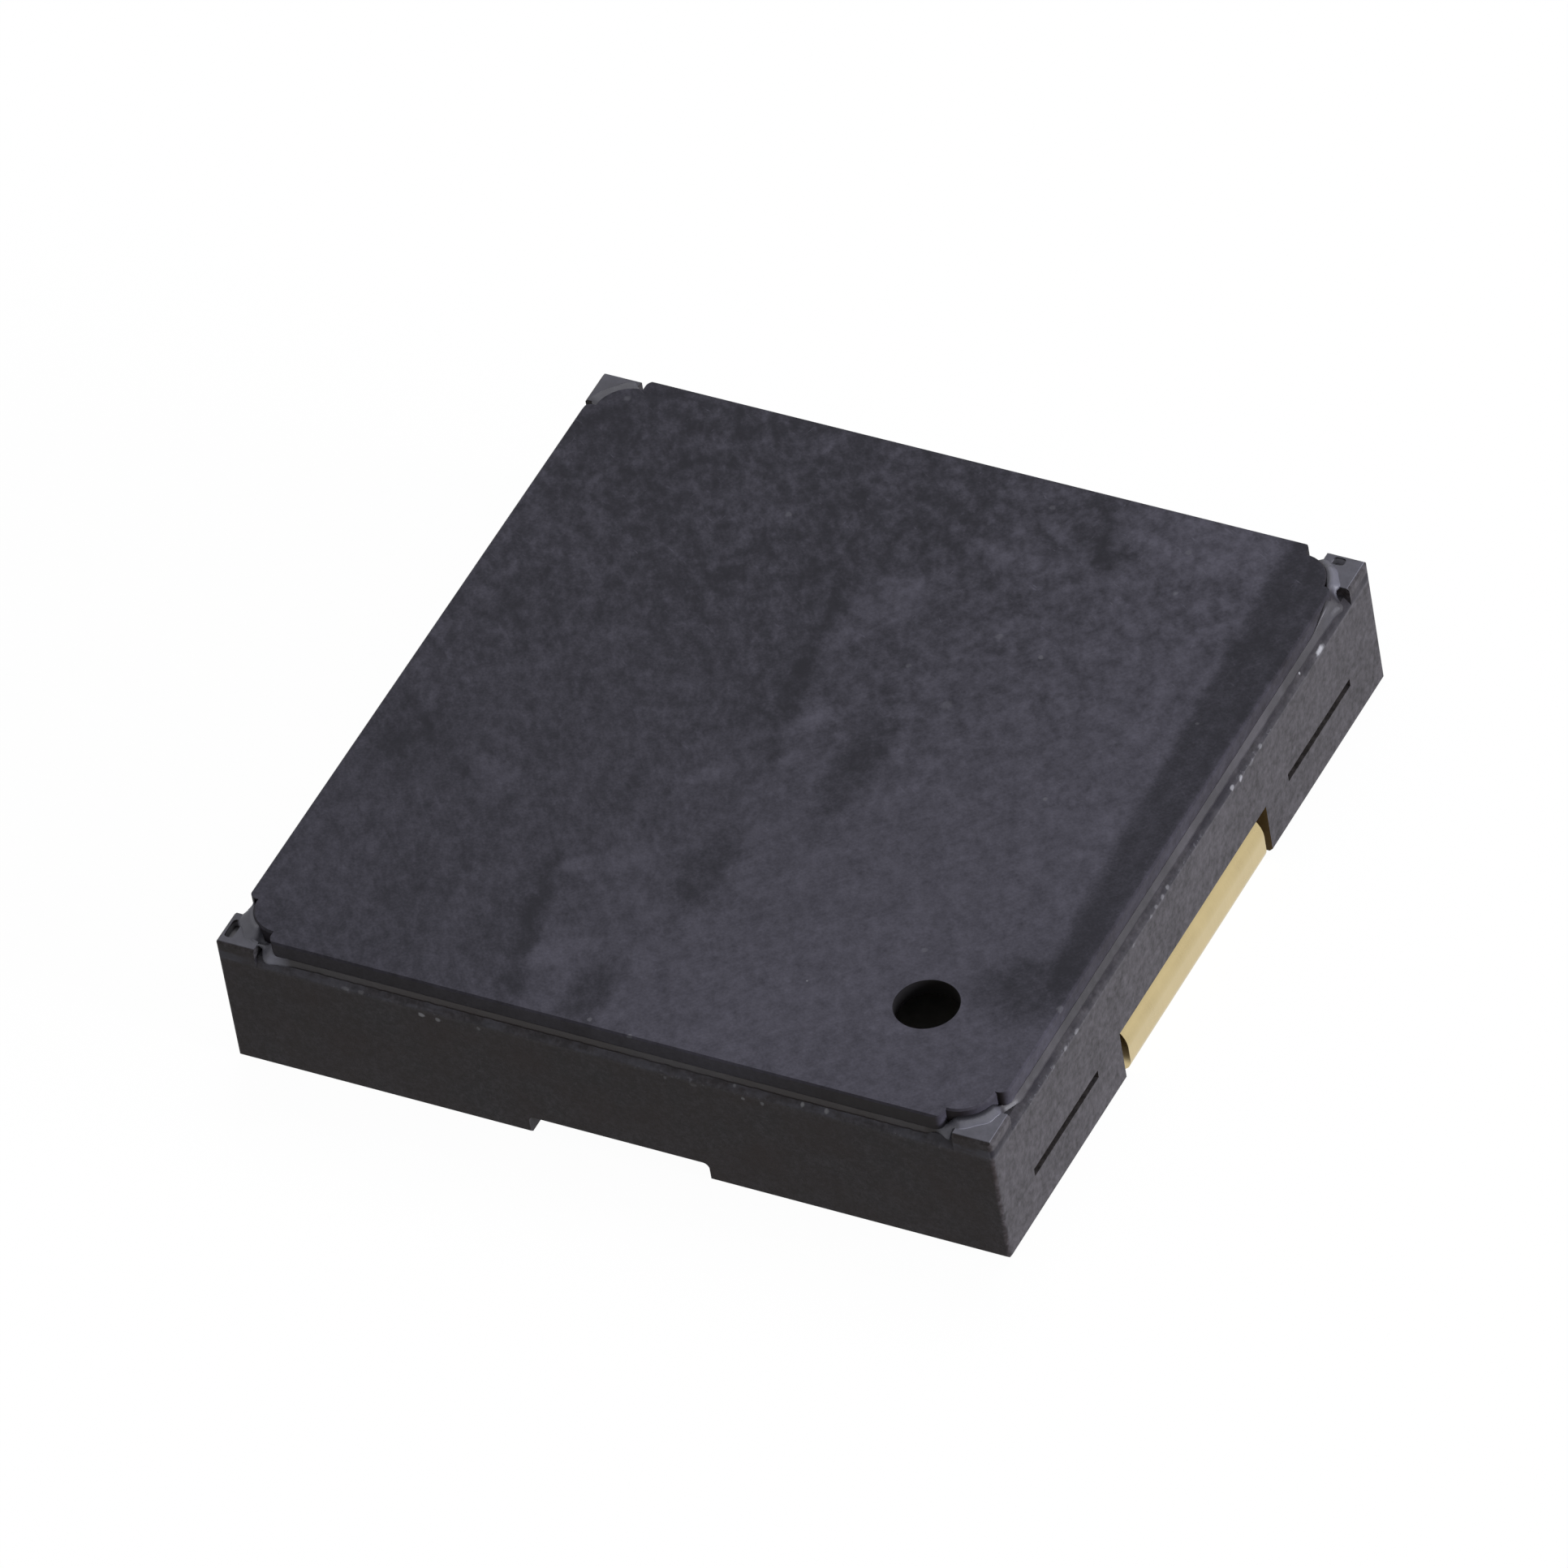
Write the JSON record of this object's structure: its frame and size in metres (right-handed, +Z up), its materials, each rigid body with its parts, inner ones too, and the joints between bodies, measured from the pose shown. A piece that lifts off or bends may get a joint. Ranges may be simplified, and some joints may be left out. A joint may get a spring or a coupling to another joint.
{
  "type": "piezo buzzer",
  "caption": "Low square surface-mount piezo buzzer: black moulded case, bonded lid with an off-centre sound hole, and gold-plated leads folded under two sides.",
  "frame": {"origin": "centre of the square, on the plane of the solder feet", "axes": "+Z up, out of the sound hole; +X and -X are the two lead sides; the sound hole is towards +X and -Y"},
  "size_m": [0.009, 0.009, 0.0018],
  "materials": {
    "case_plastic": "matte, moulded, faint flow mottle",
    "lid_plastic": "matte, moulded, cloudy flow marks",
    "bonding_resin": "satin, dark grey resin",
    "gold_plate": "satin gold plate",
    "spring_metal": "satin",
    "electroded_ceramic": "matte silver film",
    "silicone": "satin",
    "elastic_resin": "satin",
    "silver_adhesive": "matte silver-filled resin"
  },
  "bodies": {
    "root": {"case": "case_plastic", "lid": "lid_plastic", "lid_bond": "bonding_resin", "terminal_left": "gold_plate", "terminal_right": "gold_plate", "diaphragm_plate": "spring_metal", "piezo_ceramic": "electroded_ceramic", "seal_ring": "silicone", "undercoat_front_left": "elastic_resin", "conductor_front_left": "silver_adhesive", "undercoat_front_right": "elastic_resin", "conductor_front_right": "silver_adhesive", "undercoat_back_left": "elastic_resin", "conductor_back_left": "silver_adhesive", "undercoat_back_right": "elastic_resin", "conductor_back_right": "silver_adhesive"}
  },
  "joints": []
}
